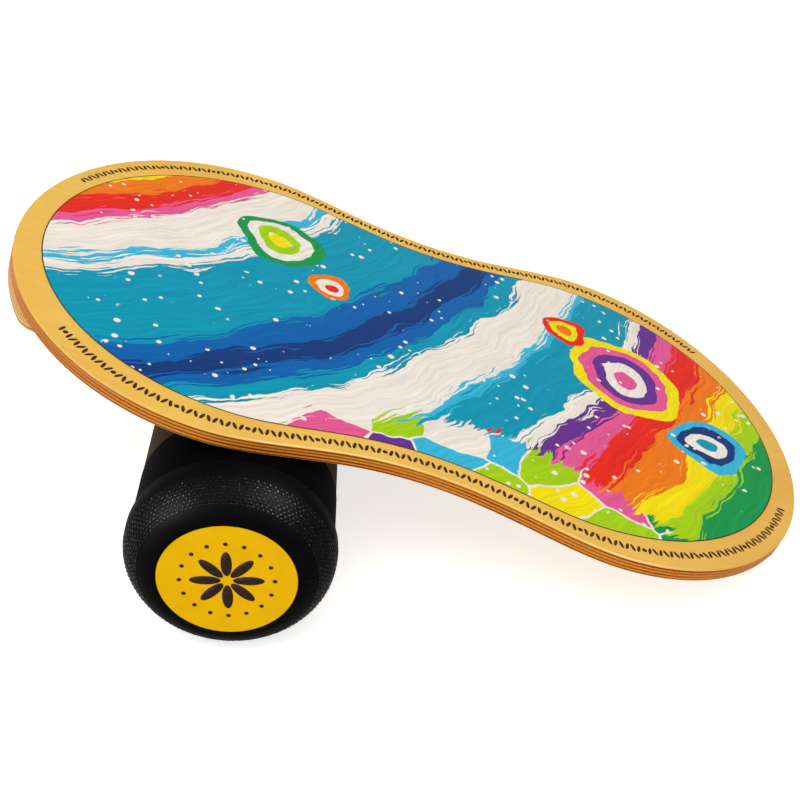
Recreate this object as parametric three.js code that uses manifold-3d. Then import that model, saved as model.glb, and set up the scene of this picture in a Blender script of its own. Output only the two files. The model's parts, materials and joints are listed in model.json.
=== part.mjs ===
// Rola bola: a waisted plywood deck with a stop block under each end, lying on a loose hollow roller.
// Millimetres, +Z up. +X runs along the deck to the end that is down on the floor, +Y runs along the roller,
// away from the viewer. The origin is on the floor under the middle of the whole set.

import * as THREE from "three";
import { mergeVertices } from "three/addons/utils/BufferGeometryUtils.js";
import Module from "manifold-3d";

const wasm = await Module();
wasm.setup();

// Deck: a birch plywood blank, widest at two lobes and drawn in at the waist
const deckLength = 740;
const deckWidth = 456;
const deckWaist = 393;
const lobeSpread = 344;
const deckThickness = 13;
const plyCount = 9;
const glueLine = 0.1;
const edgeRound = 2.5;
const waistCurveShares = { leavingLobe: 0.3, leavingWaist: 0.43 };

// Printed film on the deck: it leaves a bare wooden border, broadest beside the lobes
const filmThickness = 0.2;
const filmEndBorder = 23;
const filmLobeBorder = 30.5;
const filmWaistBorder = 24;
const filmLobeSpread = 310;

// Stop blocks: crescents under the deck's ends, which the roller meets at the end of its travel
const stopperDepth = 72;
const stopperThickness = 12;
const stopperCornerRound = 20;

// Countersunk screws that hold the stop blocks
const screwsPerStopper = 3;
const screwSpacing = 90;
const screwLength = 18;
const screwShank = 4;
const screwHead = 8;
const screwHeadRim = 0.6;
const screwTip = 3.5;
const screwClearance = 0.2;
const crossWidth = 1.1;
const crossSpan = 4.4;
const crossDepth = 1.6;

// Roller: a tube with a fatter cap on each end, and the deck runs on the tube between the caps
const tubeDiameter = 160;
const tubeWall = 4;
const capSkirtWall = 2.45;
const capReach = 42;
const capShoulderReach = 33;
const capShoulderDepth = 28;
const capBackRound = 1.2;
const capWall = 4;
const capGroove = 27;
const spigotWall = 3.6;
const spigotReach = 60;
const shoulderCurveShare = 0.45;
const deckSideGap = 3;

// Round label in a shallow recess in each cap's face
const labelMargin = 1.05;
const labelThickness = 0.5;
const labelRecess = 0.8;
const labelRim = 0.5;

// Fits: the gap between pieces that seat on each other, and under the deck where it runs on the tube
const seatGap = 0.3;
const runningGap = 0.3;

// How the deck lies on the roller: the roller stands off the deck's middle towards the raised end, the deck lies
// a little nearer to the far cap, and its long line runs aside towards the near cap by this share of its length
const rollerPlace = 135;
const deckAside = 3;
const deckTurnShare = 0.0524;

// Fineness of the round stretches
const lobeSteps = 26;
const waistSteps = 8;
const roundSteps = 3;
const cornerSteps = 6;
const shoulderSteps = 8;
const innerShoulderSteps = 3;
const rollerSides = 64;
const screwSides = 10;

// Overrun of a cutter past the face that it cuts through
const overrun = 1;

// Worked out from the sizes above
const plyThickness = (deckThickness - (plyCount - 1) * glueLine) / plyCount;
const tubeRadius = tubeDiameter / 2;
const capRadius = tubeRadius + seatGap + capSkirtWall;
const capFaceRadius = capRadius - capShoulderDepth;
const labelRadius = capFaceRadius - labelMargin;
const boreRadius = tubeRadius - tubeWall;
const barrelLength = deckWidth + 2 * deckSideGap;
const rollerLength = barrelLength + 2 * capReach;
const stopperTop = -deckThickness - glueLine;
const stopperBottom = stopperTop - stopperThickness;
const stopperInnerEdge = deckLength / 2 - stopperDepth;
const deckOverAxis = tubeRadius + runningGap + deckThickness;
const deckTurn = -Math.atan(deckTurnShare);

const birchFace = { color: 0xf0c462, roughness: 0.42, metalness: 0 };
const birchLong = { color: 0xe3a85a, roughness: 0.6, metalness: 0 };
const birchCross = { color: 0xa8641c, roughness: 0.65, metalness: 0 };
const printedFilm = { color: 0x0f93b0, roughness: 0.3, metalness: 0 };
const blackPlastic = { color: 0x222226, roughness: 0.5, metalness: 0 };
const yellowFilm = { color: 0xf0b905, roughness: 0.35, metalness: 0 };
const zincSteel = { color: 0xb9bcc0, roughness: 0.3, metalness: 1 };

// A closed solid from a geometry, and a geometry from a solid
function solidOf(geometry) {
  const bare = geometry.clone();
  bare.deleteAttribute("normal");
  bare.deleteAttribute("uv");
  const merged = mergeVertices(bare);
  const mesh = new wasm.Mesh({
    numProp: 3,
    vertProperties: Float32Array.from(merged.attributes.position.array),
    triVerts: Uint32Array.from(merged.index.array),
  });
  return new wasm.Manifold(mesh);
}

function geometryOf(solid) {
  const mesh = solid.getMesh();
  const geometry = new THREE.BufferGeometry();
  geometry.setAttribute("position", new THREE.BufferAttribute(mesh.vertProperties, mesh.numProp));
  geometry.setIndex(new THREE.BufferAttribute(mesh.triVerts, 1));
  geometry.computeVertexNormals();
  return geometry;
}

function piece(name, geometry, look) {
  const mesh = new THREE.Mesh(geometry, new THREE.MeshStandardMaterial(look));
  mesh.name = name;
  return mesh;
}

// Points along an arc of an ellipse, without its last point, which starts the next stretch
function arcPoints(centreX, centreY, radiusX, radiusY, from, to, steps) {
  return Array.from({ length: steps }, (_, i) => {
    const turn = from + ((to - from) * i) / steps;
    return new THREE.Vector2(centreX + radiusX * Math.cos(turn), centreY + radiusY * Math.sin(turn));
  });
}

// The sweep from a lobe's widest point to the waist, which it meets level
function waistPoints(lobeX, halfWidth, halfWaist) {
  const curve = new THREE.CubicBezierCurve(
    new THREE.Vector2(lobeX, halfWidth),
    new THREE.Vector2(lobeX * (1 - waistCurveShares.leavingLobe), halfWidth),
    new THREE.Vector2(lobeX * waistCurveShares.leavingWaist, halfWaist),
    new THREE.Vector2(0, halfWaist),
  );
  return curve.getPoints(waistSteps);
}

// Outline of the deck or of its print: half an ellipse round each end, joined by the two waist sweeps
function waistedShape(length, width, waist, spread) {
  const lobeX = spread / 2;
  const end = arcPoints(lobeX, 0, length / 2 - lobeX, width / 2, -Math.PI / 2, Math.PI / 2, lobeSteps);
  const sweep = waistPoints(lobeX, width / 2, waist / 2);
  const farSide = [...sweep, ...sweep.slice(1, -1).reverse().map((p) => new THREE.Vector2(-p.x, p.y))];
  const half = [...end, ...farSide];
  return new THREE.Shape([...half, ...half.map((p) => new THREE.Vector2(-p.x, -p.y))]);
}

// A plate with its top at height top and both its edges rounded
function roundedPlate(shape, top, thickness, round) {
  const geometry = new THREE.ExtrudeGeometry(shape, {
    depth: thickness - 2 * round,
    bevelThickness: round,
    bevelSize: round,
    bevelOffset: -round,
    bevelSegments: roundSteps,
  });
  return geometry.translate(0, 0, top - thickness + round);
}

// A solid turned about the Y axis from a closed profile of [radius, place along Y]
function turned(profile, sides) {
  const points = profile.map(([radius, along]) => new THREE.Vector2(radius, along));
  return new THREE.LatheGeometry(points, sides);
}

// Where the stop block's corner starts on the deck's end curve, so that its fillet touches the inner edge too
function stopperCorner() {
  const lobeX = lobeSpread / 2;
  const reach = deckLength / 2 - lobeX;
  const half = deckWidth / 2;
  const filletX = stopperInnerEdge + stopperCornerRound;
  const centreAt = (turn) => {
    const normal = new THREE.Vector2(Math.cos(turn) / reach, Math.sin(turn) / half).normalize();
    const point = new THREE.Vector2(lobeX + reach * Math.cos(turn), half * Math.sin(turn));
    return { centre: point.addScaledVector(normal, -stopperCornerRound), lean: normal.angle() };
  };
  let low = 0;
  let high = Math.PI / 2;
  for (let i = 0; i < 50; i += 1) {
    const middle = (low + high) / 2;
    if (centreAt(middle).centre.x > filletX) low = middle;
    else high = middle;
  }
  return { turn: low, ...centreAt(low) };
}

// Outline of the stop block at the +X end: flush with the deck's end, straight where the roller meets it
function stopperShape() {
  const lobeX = lobeSpread / 2;
  const reach = deckLength / 2 - lobeX;
  const { turn, centre, lean } = stopperCorner();
  const round = stopperCornerRound;
  const end = arcPoints(lobeX, 0, reach, deckWidth / 2, -turn, turn, lobeSteps);
  const far = arcPoints(centre.x, centre.y, round, round, lean, Math.PI, cornerSteps);
  const near = arcPoints(centre.x, -centre.y, round, round, Math.PI, 2 * Math.PI - lean, cornerSteps);
  const corner = new THREE.Vector2(stopperInnerEdge, centre.y);
  return new THREE.Shape([...end, ...far, corner, ...near]);
}

// Screw places on the stop block at the +X end, along the middle of the crescent
function screwPlaces() {
  const lobeX = lobeSpread / 2;
  const reach = deckLength / 2 - lobeX;
  return Array.from({ length: screwsPerStopper }, (_, i) => {
    const y = (i - (screwsPerStopper - 1) / 2) * screwSpacing;
    const edgeX = lobeX + reach * Math.sqrt(1 - (y / (deckWidth / 2)) ** 2);
    return new THREE.Vector2((stopperInnerEdge + edgeX) / 2, y);
  });
}

// Profile of a screw with its head's face at zero and its shank running up, or of the hole that it sits in
function screwProfile(gap) {
  const head = screwHead / 2 + gap;
  const shank = screwShank / 2 + gap;
  const coneEnd = screwHeadRim + (screwHead - screwShank) / 2;
  return [
    [0, screwLength + gap],
    [shank, screwLength - screwTip + gap],
    [shank, coneEnd],
    [head, screwHeadRim],
    [head, gap > 0 ? -overrun : 0],
    [0, gap > 0 ? -overrun : 0],
  ].reverse();
}

// Stands a turned piece upright, its Y axis to +Z, at a place under the stop block
function standAt(geometry, place) {
  return geometry.rotateX(Math.PI / 2).translate(place.x, place.y, stopperBottom);
}

const holeCutters = screwPlaces().flatMap((place) => {
  const hole = () => turned(screwProfile(screwClearance), screwSides);
  const mirrored = new THREE.Vector2(-place.x, place.y);
  return [solidOf(standAt(hole(), place)), solidOf(standAt(hole(), mirrored))];
});

function withScrewHoles(solid) {
  return holeCutters.reduce((left, hole) => left.subtract(hole), solid);
}

function screwGeometry() {
  const bar = () => new THREE.BoxGeometry(crossSpan, 2 * crossDepth, crossWidth);
  const body = solidOf(turned(screwProfile(0), screwSides));
  const acrossCut = solidOf(bar());
  const alongCut = solidOf(bar().rotateY(Math.PI / 2));
  return geometryOf(body.subtract(acrossCut).subtract(alongCut));
}

// Plies are numbered from the top; the grain turns a quarter from each one to the next
function plyName(i) {
  if (i === 0) return "top_face_ply";
  if (i === plyCount - 1) return "bottom_face_ply";
  if (i === (plyCount - 1) / 2) return "core_ply";
  return i % 2 ? `cross_ply_${(i + 1) / 2}` : `long_ply_${i / 2}`;
}

function buildPlies() {
  const outline = waistedShape(deckLength, deckWidth, deckWaist, lobeSpread);
  const blank = solidOf(roundedPlate(outline, 0, deckThickness, edgeRound));
  return Array.from({ length: plyCount }, (_, i) => {
    const top = -i * (plyThickness + glueLine);
    const bottom = top - plyThickness;
    let ply = blank.trimByPlane([0, 0, 1], bottom).trimByPlane([0, 0, -1], -top);
    if (bottom < stopperBottom + screwLength) ply = withScrewHoles(ply);
    const isFace = i === 0 || i === plyCount - 1;
    const grain = i % 2 ? birchCross : birchLong;
    return piece(plyName(i), geometryOf(ply), isFace ? birchFace : grain);
  });
}

function buildFilm() {
  const outline = waistedShape(
    deckLength - 2 * filmEndBorder,
    deckWidth - 2 * filmLobeBorder,
    deckWaist - 2 * filmWaistBorder,
    filmLobeSpread,
  );
  const sheet = new THREE.ExtrudeGeometry(outline, { depth: filmThickness, bevelEnabled: false });
  return piece("printed_deck_film", sheet.translate(0, 0, glueLine), printedFilm);
}

// One stop block and its screws, modelled at the +X end; the other pair is the same turned half round
function buildStopper(side) {
  const group = new THREE.Group();
  const thick = stopperThickness + edgeRound;
  const blank = solidOf(roundedPlate(stopperShape(), stopperTop + edgeRound, thick, edgeRound));
  const block = withScrewHoles(blank.trimByPlane([0, 0, -1], -stopperTop));
  group.add(piece(`${side}_stopper`, geometryOf(block), birchLong));
  screwPlaces().forEach((place, i) => {
    const screw = piece(`${side}_stopper_screw_${i + 1}`, screwGeometry(), zincSteel);
    screw.rotation.x = Math.PI / 2;
    screw.position.set(place.x, place.y, stopperBottom);
    group.add(screw);
  });
  return group;
}

function buildDeck() {
  const deck = new THREE.Group();
  deck.add(...buildPlies(), buildFilm());
  const lowered = buildStopper("lowered_end");
  const raised = buildStopper("raised_end");
  raised.rotation.z = Math.PI;
  deck.add(lowered, raised);
  return deck;
}

// The curve of a cap's shoulder, level with the face where it starts and with the side where it ends
function shoulderPoints(faceRadius, faceAlong, sideRadius, sideAlong, steps) {
  const across = (sideRadius - faceRadius) * shoulderCurveShare;
  const back = (sideAlong - faceAlong) * shoulderCurveShare;
  const curve = new THREE.CubicBezierCurve(
    new THREE.Vector2(faceRadius, faceAlong),
    new THREE.Vector2(faceRadius + across, faceAlong),
    new THREE.Vector2(sideRadius, sideAlong - back),
    new THREE.Vector2(sideRadius, sideAlong),
  );
  return curve.getPoints(steps);
}

// Half profile of an end cap: a cup with a rounded shoulder, whose groove takes the end of the tube.
// The second value runs from the cap's outer face towards the middle of the roller.
function capProfile() {
  const recess = labelRadius + labelRim;
  const skirtInside = tubeRadius + seatGap;
  const spigotOutside = boreRadius - seatGap;
  const spigotInside = spigotOutside - spigotWall;
  const shoulder = shoulderPoints(capFaceRadius, 0, capRadius, capShoulderReach, shoulderSteps);
  const backEdge = arcPoints(
    capRadius - capBackRound,
    capReach - capBackRound,
    capBackRound,
    capBackRound,
    0,
    Math.PI / 2,
    roundSteps,
  );
  const innerShoulder = shoulderPoints(
    capFaceRadius - capWall,
    capWall,
    spigotInside,
    capShoulderReach,
    innerShoulderSteps,
  );
  return [
    [0, labelRecess],
    [recess, labelRecess],
    [recess, 0],
    ...shoulder.map((p) => [p.x, p.y]),
    ...backEdge.map((p) => [p.x, p.y]),
    [capRadius - capBackRound, capReach],
    [skirtInside, capReach],
    [skirtInside, capGroove],
    [spigotOutside, capGroove],
    [spigotOutside, spigotReach],
    [spigotInside, spigotReach],
    ...innerShoulder.reverse().map((p) => [p.x, p.y]),
    [0, capWall],
  ];
}

function buildRoller() {
  const roller = new THREE.Group();
  const tubeHalf = rollerLength / 2 - capGroove - seatGap;
  const tube = [
    [boreRadius, -tubeHalf],
    [tubeRadius, -tubeHalf],
    [tubeRadius, tubeHalf],
    [boreRadius, tubeHalf],
    [boreRadius, -tubeHalf],
  ];
  roller.add(piece("roller_tube", turned(tube, rollerSides), blackPlastic));
  const label = [
    [0, 0],
    [labelRadius, 0],
    [labelRadius, labelThickness],
    [0, labelThickness],
  ];
  ["near", "far"].forEach((side, i) => {
    const end = new THREE.Group();
    end.rotation.z = i * Math.PI;
    const cap = piece(`${side}_end_cap`, turned(capProfile(), rollerSides), blackPlastic);
    cap.position.y = -rollerLength / 2;
    const sticker = piece(`${side}_label`, turned(label, rollerSides), yellowFilm);
    sticker.position.y = -rollerLength / 2 + labelRecess - labelThickness - glueLine;
    end.add(cap, sticker);
    roller.add(end);
  });
  return roller;
}

// How far out from the roller's axis an end of the turned deck reaches, on side 1 the lowered end, on side -1
// the raised one
function reachFromRoller(side) {
  const lobeX = lobeSpread / 2;
  const alongEnd = (deckLength / 2 - lobeX) * Math.cos(deckTurn);
  const acrossEnd = (deckWidth / 2) * Math.sin(deckTurn);
  const middle = rollerPlace * Math.cos(deckTurn) - deckAside * Math.sin(deckTurn);
  return lobeX * Math.cos(deckTurn) + Math.hypot(alongEnd, acrossEnd) + side * middle;
}

// The lean at which a stop block's rounded lower edge, that far out from the roller, comes down on the floor
function leanToFloor(reach) {
  const out = reach - edgeRound;
  const above = deckOverAxis + stopperBottom + edgeRound;
  return Math.atan2(above, out) + Math.asin((capRadius - edgeRound) / Math.hypot(out, above));
}

const deck = buildDeck();
deck.position.set(rollerPlace, deckAside, deckOverAxis);

const lying = new THREE.Group();
lying.rotation.z = deckTurn;
lying.add(deck);

const tilting = new THREE.Group();
tilting.rotation.y = leanToFloor(reachFromRoller(1));
tilting.add(lying);

const standing = new THREE.Group();
standing.position.z = capRadius;
standing.add(buildRoller(), tilting);

const rolaBola = new THREE.Group();
rolaBola.add(standing);
const extent = new THREE.Box3().setFromObject(rolaBola, true);
standing.position.x = -(extent.min.x + extent.max.x) / 2;

export default rolaBola;
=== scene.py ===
# %% [markdown]
# # A rola bola
# A rola bola is a balance toy of two loose pieces: a waisted plywood deck and a roller to stand it on. The
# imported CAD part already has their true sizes. This lesson gives them their looks, one piece and one finish
# at a time, and every piece stays exactly where the CAD part has it.

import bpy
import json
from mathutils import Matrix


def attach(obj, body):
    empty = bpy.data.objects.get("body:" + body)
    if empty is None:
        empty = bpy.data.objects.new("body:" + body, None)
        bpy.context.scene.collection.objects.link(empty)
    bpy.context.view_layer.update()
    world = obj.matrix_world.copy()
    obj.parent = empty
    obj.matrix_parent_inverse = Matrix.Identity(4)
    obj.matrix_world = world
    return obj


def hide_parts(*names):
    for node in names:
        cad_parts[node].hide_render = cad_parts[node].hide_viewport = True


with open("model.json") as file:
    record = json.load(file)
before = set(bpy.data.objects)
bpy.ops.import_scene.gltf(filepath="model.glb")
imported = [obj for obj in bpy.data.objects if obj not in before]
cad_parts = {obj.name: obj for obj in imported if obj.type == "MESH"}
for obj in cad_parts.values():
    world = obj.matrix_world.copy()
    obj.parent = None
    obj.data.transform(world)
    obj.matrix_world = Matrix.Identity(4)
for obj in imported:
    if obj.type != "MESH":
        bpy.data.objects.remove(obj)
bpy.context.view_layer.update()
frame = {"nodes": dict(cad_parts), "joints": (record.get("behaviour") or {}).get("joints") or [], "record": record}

# %% Modules and the unit
import json
import math

import bmesh
import bpy
from mathutils import Matrix, Vector

MM = 0.001

# %% [markdown]
# ## Two work benches
# The deck leans and lies a little askew on the roller, and the roller lies above the floor, so neither is
# easy to draw where it stands. Each gets a bench of its own, in millimetres: pieces are drawn there and
# then carried to their place by one matrix. The deck's bench has its zero in the middle of the print, x
# along the deck and z up from it. The roller's bench has its zero in the middle of the roller, with y along
# it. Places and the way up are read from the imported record. The deck's long line is read from its print,
# whose farthest corner from the middle is a tip. So neither bench can drift from the CAD.

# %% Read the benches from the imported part
deck_mount = {mount["name"]: mount for mount in frame["record"]["mounts"]}["deck_top"]
deck_centre = Vector(deck_mount["pos_m"])
deck_up = Vector(deck_mount["axis"]).normalized()
reaches = [vertex.co - deck_centre for vertex in frame["nodes"]["printed_deck_film"].data.vertices]
tip = max(reaches, key=lambda reach: reach.length)
tip = tip if tip.x > 0 else -tip
deck_along = (tip - tip.dot(deck_up) * deck_up).normalized()
DECK_TURN = Matrix((deck_along, deck_up.cross(deck_along), deck_up)).transposed()
DECK_LEAN = DECK_TURN.to_euler()
roller_centre = Vector(frame["joints"][0]["pos_m"])
DECK_BENCH = Matrix.Translation(deck_centre) @ DECK_TURN.to_4x4() @ Matrix.Scale(MM, 4)
ROLLER_BENCH = Matrix.Translation(roller_centre) @ Matrix.Scale(MM, 4)
print("deck turn, degrees:", [round(math.degrees(turn), 2) for turn in DECK_LEAN])
print("roller axis, mm up:", round(roller_centre.z / MM, 2))


def bench_box(node, bench):
    """Lowest and highest corner of a CAD node, in millimetres on a bench."""
    points = [bench.inverted() @ vertex.co for vertex in frame["nodes"][node].data.vertices]
    return Vector(map(min, *points)), Vector(map(max, *points))


print("print on its bench:", [[round(n, 2) for n in c] for c in bench_box("printed_deck_film", DECK_BENCH)])

# %% [markdown]
# ## How a node is added
# Every material and every Geometry Nodes tree below is written with one small function. It makes a node,
# sets its settings, and fills its inputs with plain values or with another node's output. It gives back the
# node's outputs, so the next node can be fed at once. A Mix node has its two colours at inputs 6 and 7, and
# its colour output is 2.

# %% Node, colour and material helpers
def add_node(tree, kind, inputs=None, stops=None, ease="LINEAR", **settings):
    node = tree.nodes.new(kind)
    for name, value in settings.items():
        setattr(node, name, value)
    for key, value in (inputs or {}).items():
        if isinstance(value, bpy.types.NodeSocket):
            tree.links.new(value, node.inputs[key])
        else:
            node.inputs[key].default_value = value
    if stops:
        ramp = node.color_ramp
        ramp.interpolation = ease
        ramp.elements.remove(ramp.elements[1])
        ramp.elements[0].position, ramp.elements[0].color = stops[0]
        for place, colour in stops[1:]:
            ramp.elements.new(place).color = colour
    return node.outputs


def linear(colour, alpha=1.0):
    """An sRGB colour such as "F0C05C" as Blender's linear numbers."""
    parts = [int(colour[i : i + 2], 16) / 255 for i in (0, 2, 4)]
    return (*[p / 12.92 if p <= 0.04045 else ((p + 0.055) / 1.055) ** 2.4 for p in parts], alpha)


def start_material(name, constants):
    """A material with a Principled shader whose plain settings stand on its own sockets."""
    material = bpy.data.materials.new(name)
    material.use_nodes = True
    tree = material.node_tree
    tree.nodes.clear()
    surface = add_node(tree, "ShaderNodeBsdfPrincipled", constants)[0]
    add_node(tree, "ShaderNodeOutputMaterial", {"Surface": surface})
    return material, tree, surface.node


def bench_millimetres(tree, centre, turn=(0, 0, 0)):
    """Object coordinates turned into millimetres on a bench."""
    where = add_node(tree, "ShaderNodeTexCoord")["Object"]
    place = {"Vector": where, "Location": centre, "Rotation": turn, "Scale": (MM, MM, MM)}
    return add_node(tree, "ShaderNodeMapping", place, vector_type="TEXTURE")[0]


def stretched_noise(tree, where, lengths, detail=2.0, output=0):
    """Noise whose blotches have the given lengths, in millimetres, along x, y and z."""
    scale = [1 / length for length in lengths]
    counted = add_node(tree, "ShaderNodeMapping", {"Vector": where, "Scale": scale})[0]
    return add_node(tree, "ShaderNodeTexNoise", {"Vector": counted, "Scale": 1, "Detail": detail})[output]


def laid_over(tree, under, over, pattern, low, high, most=1.0):
    """One colour over another: none of it where a pattern is at low, and its full share from high on."""
    limits = {"Value": pattern, "From Min": low, "From Max": high, "To Max": most}
    share = add_node(tree, "ShaderNodeMapRange", limits)[0]
    return add_node(tree, "ShaderNodeMix", {0: share, 6: under, 7: over}, data_type="RGBA")[2]


def dressed(material, shader, colour, grain, strength, depth=0.1):
    """Gives a material its colour, and lets a grain stand out as bump, with a depth in millimetres."""
    tree = material.node_tree
    relief = {"Height": grain, "Strength": strength, "Distance": depth * MM}
    bump = add_node(tree, "ShaderNodeBump", relief)[0]
    tree.links.new(colour, shader.inputs["Base Color"])
    tree.links.new(bump, shader.inputs["Normal"])
    return material


# %% [markdown]
# ## Birch veneer
# The deck is birch plywood under clear lacquer. Its two outer veneers show their flat side: a warm gold,
# almost plain, with long faint streaks of growth rings and short fine pores along the grain. Two stretched
# noises make both, one broad and one narrow, and a third, much larger one lets the lacquer turn a little
# warmer here and there. Birch pores are only a few tenths of a millimetre wide, so they are drawn about a
# millimetre wide to be seen.

# %% Lacquered birch veneer
RING_BLOTCH = (260, 7, 7)
PORE_BLOTCH = (16, 0.9, 0.9)
LACQUER_BLOTCH = (110, 110, 110)
WARM_FROM, WARM_TO = 120, 340


def birch_veneer():
    lacquer = {"Roughness": 0.45, "IOR": 1.5, "Specular IOR Level": 0.07}
    material, tree, shader = start_material("lacquered_birch_veneer", lacquer)
    where = bench_millimetres(tree, deck_centre, DECK_LEAN)
    along = add_node(tree, "ShaderNodeSeparateXYZ", {0: where})[0]
    rings = stretched_noise(tree, where, RING_BLOTCH, detail=3)
    pores = stretched_noise(tree, where, PORE_BLOTCH)
    patches = stretched_noise(tree, where, LACQUER_BLOTCH, detail=1)
    ring_stops = [(0.3, linear("EEBC50")), (0.52, linear("F0BF55")), (0.72, linear("F2C45C"))]
    ringed = add_node(tree, "ShaderNodeValToRGB", {"Fac": rings}, stops=ring_stops)[0]
    pored = laid_over(tree, ringed, linear("C98B37"), pores, low=0.58, high=0.72, most=0.14)
    patched = laid_over(tree, pored, linear("E2A344"), patches, low=0.4, high=0.65, most=0.35)
    # The veneer turns a little darker and warmer towards the deck's +x end, from WARM_FROM to WARM_TO along it.
    colour = laid_over(tree, patched, linear("DE9A42"), along, low=WARM_FROM, high=WARM_TO, most=0.2)
    return dressed(material, shader, colour, pores, strength=0.25)


veneer = birch_veneer()
print("made", veneer.name)

# %% [markdown]
# ## Plywood edges
# Plywood is a stack of veneers whose grain turns a quarter from each to the next. Where an edge cuts along
# the grain it stays light, and where it cuts across the grain the open fibres drink the lacquer and turn
# dark. That is why the edge is striped, and why a stripe that is light along the deck's side is dark round
# its end. So the material asks one question: how squarely does this face cut the grain? The answer is the
# part of the surface's normal that runs along the grain, and it blends the light colour into the dark one.
# Fibres and open pores are finer than a render can show, so they are drawn about a millimetre wide.

# %% Ply edges, one material for each grain direction
PLY_COUNT, GLUE_LINE, DECK_THICK = 9, 0.1, 13.0
PLY_THICK = (DECK_THICK - (PLY_COUNT - 1) * GLUE_LINE) / PLY_COUNT
PLY_STEP = PLY_THICK + GLUE_LINE
FIBRE_LONG, FIBRE_WIDE = 30, 0.8
OPEN_PORE = 1.2
TONE_LONG = 90


def ply_edge(name, grain_axis, dark):
    lacquer = {"Roughness": 0.5, "IOR": 1.5, "Specular IOR Level": 0.06}
    material, tree, shader = start_material(name, lacquer)
    where = bench_millimetres(tree, deck_centre, DECK_LEAN)
    normal = add_node(tree, "ShaderNodeTexCoord")["Normal"]
    turned = {"Vector": normal, "Rotation": DECK_LEAN}
    upright = add_node(tree, "ShaderNodeVectorRotate", turned, rotation_type="EULER_XYZ", invert=True)[0]
    facing = add_node(tree, "ShaderNodeSeparateXYZ", {0: upright})[grain_axis]
    squarely = add_node(tree, "ShaderNodeMath", {0: facing}, operation="ABSOLUTE")[0]
    lengths = [FIBRE_LONG if axis == grain_axis else FIBRE_WIDE for axis in (0, 1)] + [FIBRE_WIDE]
    fibres = stretched_noise(tree, where, lengths)
    pores = stretched_noise(tree, where, (OPEN_PORE, OPEN_PORE, OPEN_PORE), detail=3)
    tones = stretched_noise(tree, where, (TONE_LONG, TONE_LONG, PLY_STEP), detail=0)
    plain = laid_over(tree, linear("F2942E"), linear(dark), squarely, low=0.35, high=0.95)
    streaked = laid_over(tree, plain, linear("B0621A"), fibres, low=0.5, high=0.75, most=0.4)
    pored = laid_over(tree, streaked, linear("5E2A04"), pores, low=0.52, high=0.7, most=0.4)
    colour = laid_over(tree, pored, linear("F0A838"), tones, low=0.35, high=0.65, most=0.3)
    return dressed(material, shader, colour, pores, strength=0.3, depth=0.15)


long_edge = ply_edge("birch_ply_grain_along_the_deck", 0, "9A4204")
cross_edge = ply_edge("birch_ply_grain_across_the_deck", 1, "7E2E00")
print("made", long_edge.name, "and", cross_edge.name)

# %% [markdown]
# ## From a bench into the scene
# Every new piece goes the same way. Its mesh is drawn in millimetres on a bench and carried to its place by
# the bench's matrix, so the finished object itself stays unturned at the origin. It is shaded smooth except
# where two faces meet at a real corner, and a Weighted Normal modifier lets the large flat faces decide,
# which keeps them flat right up to a rounded edge. Then it is tied to the body that it moves with.

# %% Finish and place a piece
CORNER = math.radians(35)


def plain_mesh(thing):
    """The evaluated shape of an object as a plain mesh. The object itself is removed."""
    bpy.context.view_layer.update()
    mesh = bpy.data.meshes.new_from_object(thing.evaluated_get(bpy.context.evaluated_depsgraph_get()))
    bpy.data.objects.remove(thing)
    return mesh


def smooth_with_corners(mesh):
    """Shades a mesh smooth but for its corners, with its large faces kept flat."""
    mesh.shade_smooth()
    mesh.set_sharp_from_angle(angle=CORNER)
    thing = bpy.data.objects.new("smooth", mesh)
    bpy.context.scene.collection.objects.link(thing)
    thing.modifiers.new("flat faces decide", "WEIGHTED_NORMAL").keep_sharp = True
    return plain_mesh(thing)


def place_piece(name, mesh, body, slot, *nodes):
    """Puts a mesh into the scene as a piece of a body, in place of CAD nodes where some are named."""
    piece = bpy.data.objects.new(name, mesh)
    mesh.name = name
    bpy.context.scene.collection.objects.link(piece)
    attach(piece, body)
    if nodes:
        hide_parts(*nodes)


# %% [markdown]
# ## The deck's outline
# The deck is widest at two lobes and drawn in at the waist. Each end is half an ellipse, and a curve with
# two handles sweeps from each lobe to the waist, which it meets level. The print inside it has an outline
# of the same kind with its own four sizes, so one function draws both. The CAD part's outline has straight
# facets a few tenths of a millimetre inside this curve, so the curve is drawn that much smaller and the
# deck stays inside the CAD's box.

# %% Outlines of the deck and its print
FACET_DEPTH = 0.6
DECK_LENGTH, DECK_WIDTH, DECK_WAIST, LOBE_SPREAD = 740 - 2 * FACET_DEPTH, 456 - 2 * FACET_DEPTH, 393, 344
FILM_LENGTH, FILM_WIDTH, FILM_WAIST, FILM_SPREAD = 694, 395, 345, 310
LEAVING_LOBE, LEAVING_WAIST = 0.3, 0.43
WOOD_TOP = -0.3


def arc(x, y, radius, start, end, steps):
    """Points on an arc about (x, y), from one angle to another."""
    turns = [start + (end - start) * i / steps for i in range(steps + 1)]
    return [(x + radius * math.cos(turn), y + radius * math.sin(turn)) for turn in turns]


def on_curve(handles, share):
    """A point on a curve from its first handle to its last, drawn out towards the two between."""
    rest = 1 - share
    weights = (rest**3, 3 * rest * rest * share, 3 * rest * share * share, share**3)
    return tuple(sum(w * handle[axis] for w, handle in zip(weights, handles)) for axis in (0, 1))


def end_curve(turn, length=DECK_LENGTH, width=DECK_WIDTH, spread=LOBE_SPREAD):
    """A point on the half ellipse round the +x end. Its turn goes from 0 at the tip to a quarter."""
    return (spread / 2 + (length - spread) / 2 * math.cos(turn), width / 2 * math.sin(turn))


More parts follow.
